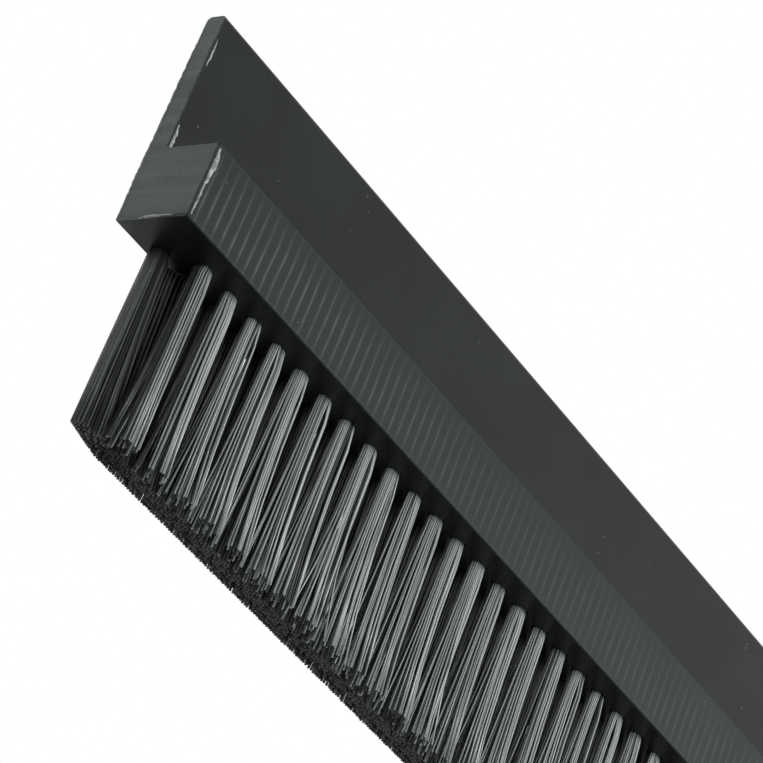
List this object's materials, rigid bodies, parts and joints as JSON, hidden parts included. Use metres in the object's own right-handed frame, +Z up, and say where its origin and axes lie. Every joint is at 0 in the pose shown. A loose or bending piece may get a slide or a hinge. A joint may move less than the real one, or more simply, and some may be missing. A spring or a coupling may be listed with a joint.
{
  "type": "brush seal strip",
  "caption": "Straight brush seal strip: a plastic carrier with a fixing flange and two staggered rows of bristle tufts that close the gap at a door's edge.",
  "frame": {"origin": "middle of the flat back face, halfway along the strip and halfway up the carrier", "axes": "+X along the strip, -Y out of the front, +Z up from the bristles to the flange"},
  "size_m": [0.268, 0.019, 0.095],
  "materials": {
    "carrier_plastic": "charcoal black plastic, smooth flange, planed block with fine cutter marks",
    "bristle_filament": "black drawn filament with a silky shine along its length",
    "anchor_wire": "plain flat steel wire"
  },
  "bodies": {
    "root": {"carrier_strip": "carrier_plastic", "front_tuft_01": "bristle_filament", "front_tuft_02": "bristle_filament", "front_tuft_03": "bristle_filament", "front_tuft_04": "bristle_filament", "front_tuft_05": "bristle_filament", "front_tuft_06": "bristle_filament", "front_tuft_07": "bristle_filament", "front_tuft_08": "bristle_filament", "front_tuft_09": "bristle_filament", "front_tuft_10": "bristle_filament", "front_tuft_11": "bristle_filament", "front_tuft_12": "bristle_filament", "front_tuft_13": "bristle_filament", "front_tuft_14": "bristle_filament", "front_tuft_15": "bristle_filament", "front_tuft_16": "bristle_filament", "front_tuft_17": "bristle_filament", "front_tuft_18": "bristle_filament", "front_tuft_19": "bristle_filament", "front_tuft_20": "bristle_filament", "front_tuft_21": "bristle_filament", "front_tuft_22": "bristle_filament", "front_tuft_23": "bristle_filament", "front_tuft_24": "bristle_filament", "front_tuft_25": "bristle_filament", "front_tuft_26": "bristle_filament", "front_tuft_27": "bristle_filament", "back_tuft_01": "bristle_filament", "back_tuft_02": "bristle_filament", "back_tuft_03": "bristle_filament", "back_tuft_04": "bristle_filament", "back_tuft_05": "bristle_filament", "back_tuft_06": "bristle_filament", "back_tuft_07": "bristle_filament", "back_tuft_08": "bristle_filament", "back_tuft_09": "bristle_filament", "back_tuft_10": "bristle_filament", "back_tuft_11": "bristle_filament", "back_tuft_12": "bristle_filament", "back_tuft_13": "bristle_filament", "back_tuft_14": "bristle_filament", "back_tuft_15": "bristle_filament", "back_tuft_16": "bristle_filament", "back_tuft_17": "bristle_filament", "back_tuft_18": "bristle_filament", "back_tuft_19": "bristle_filament", "back_tuft_20": "bristle_filament", "back_tuft_21": "bristle_filament", "back_tuft_22": "bristle_filament", "back_tuft_23": "bristle_filament", "back_tuft_24": "bristle_filament", "back_tuft_25": "bristle_filament", "back_tuft_26": "bristle_filament", "back_tuft_27": "bristle_filament", "back_tuft_28": "bristle_filament", "front_anchors": "anchor_wire", "back_anchors": "anchor_wire"}
  },
  "joints": []
}
